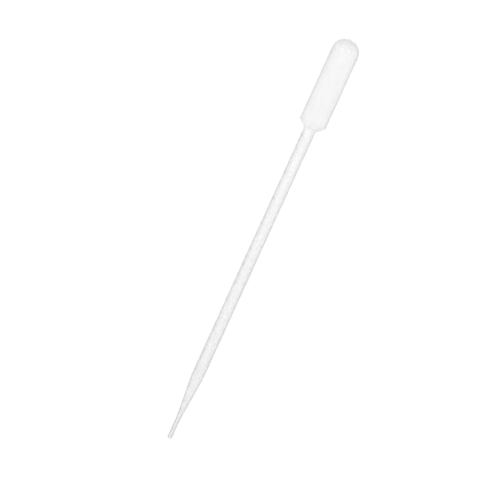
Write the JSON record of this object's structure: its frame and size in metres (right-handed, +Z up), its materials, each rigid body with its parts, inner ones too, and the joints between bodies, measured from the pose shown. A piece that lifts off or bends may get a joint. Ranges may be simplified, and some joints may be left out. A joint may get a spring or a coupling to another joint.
{
  "type": "dropper pipette",
  "caption": "Slim one-piece dropper pipette of translucent plastic: a domed squeeze bulb, a long straight stem with raised volume marks and a drawn-down open tip.",
  "frame": {"origin": "on the table under the middle of the pipette as it lies at rest", "axes": "+X along the length from the tip to the bulb, +Z up from the table, +Y to the side that the volume marks face"},
  "size_m": [0.16, 0.0102, 0.011],
  "materials": {
    "pipette": "natural translucent low-density polyethylene, satin"
  },
  "bodies": {
    "root": {"pipette": "pipette"}
  },
  "joints": []
}
